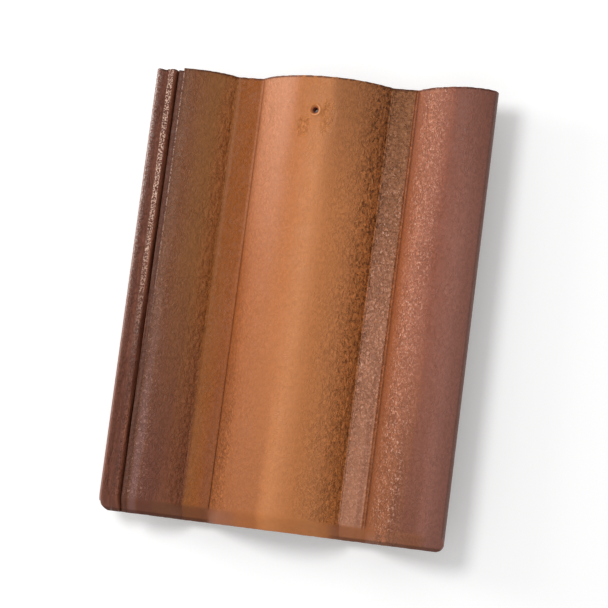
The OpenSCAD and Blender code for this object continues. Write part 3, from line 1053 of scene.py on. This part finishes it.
# %% [markdown]
# The colour of the coat is laid up in layers. The sprayed colour is darker in the hollows, where the coat
# is thick, and lighter on the wrinkles as a painted highlight. Painted shade in the torn pits and in dark
# lines lies over it, then painted glints on wrinkles, painted highlights on the ridge, rib and beads, and
# the grey left edge.

# %% Colour of the coat
IN_HOLLOWS = 0.74
WRINKLE_HIGHLIGHT = 1.5
MARKED = 0.7
PIT_SHADE_BROWN = (76, 42, 18)
SHADE_BROWN = (66, 30, 17)
PAINTED_GLINT_CREAM = (240, 196, 176)
HIGHLIGHT_CREAM = (232, 192, 170)
RUBBED_GREY = (205, 190, 184)

fired = bpy.data.materials.new("fired_clay_coated")
fired.use_nodes = True
tree = fired.node_tree
skin = make(tree, "ShaderNodeGroup", {"node_tree": wrinkled}).outputs
light_lines = make(tree, "ShaderNodeGroup", {"node_tree": worn_lines}).outputs
painted_shade = make(tree, "ShaderNodeGroup", {"node_tree": dark_lines}).outputs["Dark"]
tint = make(tree, "ShaderNodeGroup", {"node_tree": sprayed}).outputs["Colour"]
tint = scaled(tree, tint, mapped(tree, skin["Hollow"], (0.0, 1.0), (1.0, IN_HOLLOWS)))
# Painted highlight: the colour is lighter on the wrinkles
tint = scaled(tree, tint, mapped(tree, skin["Ridge"], (0.0, 1.0), (1.0, WRINKLE_HIGHLIGHT)))
# Painted shade, painted glints and painted highlights lie over the sprayed colour
layers = ((times(tree, skin["Torn"], MARKED), PIT_SHADE_BROWN), (painted_shade, SHADE_BROWN),
          (times(tree, skin["Glint"], MARKED), PAINTED_GLINT_CREAM), (light_lines["Worn"], HIGHLIGHT_CREAM),
          (light_lines["Rubbed"], RUBBED_GREY))
for mask, shade in layers:
    tint = over(tree, mask, tint, colour(*shade))
print("coat of", len(layers), "layers over the sprayed colour")

# %% [markdown]
# The material itself is one Principled shader. Where the coat ends, the bare body shows: dull, sandy and
# greyer. The coat is semi-gloss and a little uneven, and the bump gives it the fine wrinkles and grains
# that the mesh is too coarse for.

# %% Fired clay with its coat
SPECULAR = 0.22
BARE_ROUGHNESS = 0.85
COAT_ROUGHNESS = (0.36, 0.5)
SHEENS_PER_M = 60.0
BUMP_HEIGHT = 0.45 * MM
SAND_PER_M = 700.0
SAND_DARK = (104, 80, 68)
SAND_LIGHT = (160, 130, 112)

shader = tree.nodes["Principled BSDF"]
shader.inputs["Specular IOR Level"].default_value = SPECULAR
place = tree.nodes.new("ShaderNodeTexCoord").outputs["Object"]
has_coat = make(tree, "ShaderNodeAttribute", {"attribute_name": "coat"}).outputs["Fac"]
sand = noise(tree, place, SAND_PER_M, 4.0, 0.7)
bare = over(tree, sand, colour(*SAND_DARK), colour(*SAND_LIGHT))
tree.links.new(over(tree, has_coat, bare, tint), shader.inputs["Base Color"])
uneven = mapped(tree, noise(tree, place, SHEENS_PER_M, 3.0), (0.3, 0.7), COAT_ROUGHNESS)
roughness = make(tree, "ShaderNodeMix", {"data_type": "FLOAT"}, {0: has_coat, 2: BARE_ROUGHNESS, 3: uneven})
tree.links.new(roughness.outputs[0], shader.inputs["Roughness"])
bump = make(tree, "ShaderNodeBump", (), {
    "Strength": 1.0, "Distance": BUMP_HEIGHT, "Height": skin["Height"]})
tree.links.new(bump.outputs["Normal"], shader.inputs["Normal"])
tile.data.materials.clear()
tile.data.materials.append(fired)
print("material", fired.name, "with", len(tree.nodes), "nodes")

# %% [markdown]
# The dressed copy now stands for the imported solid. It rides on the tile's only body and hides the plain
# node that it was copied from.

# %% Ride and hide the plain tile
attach(tile, "root")
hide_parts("tile")
print(tile.name, "rides on root and replaces the plain tile")
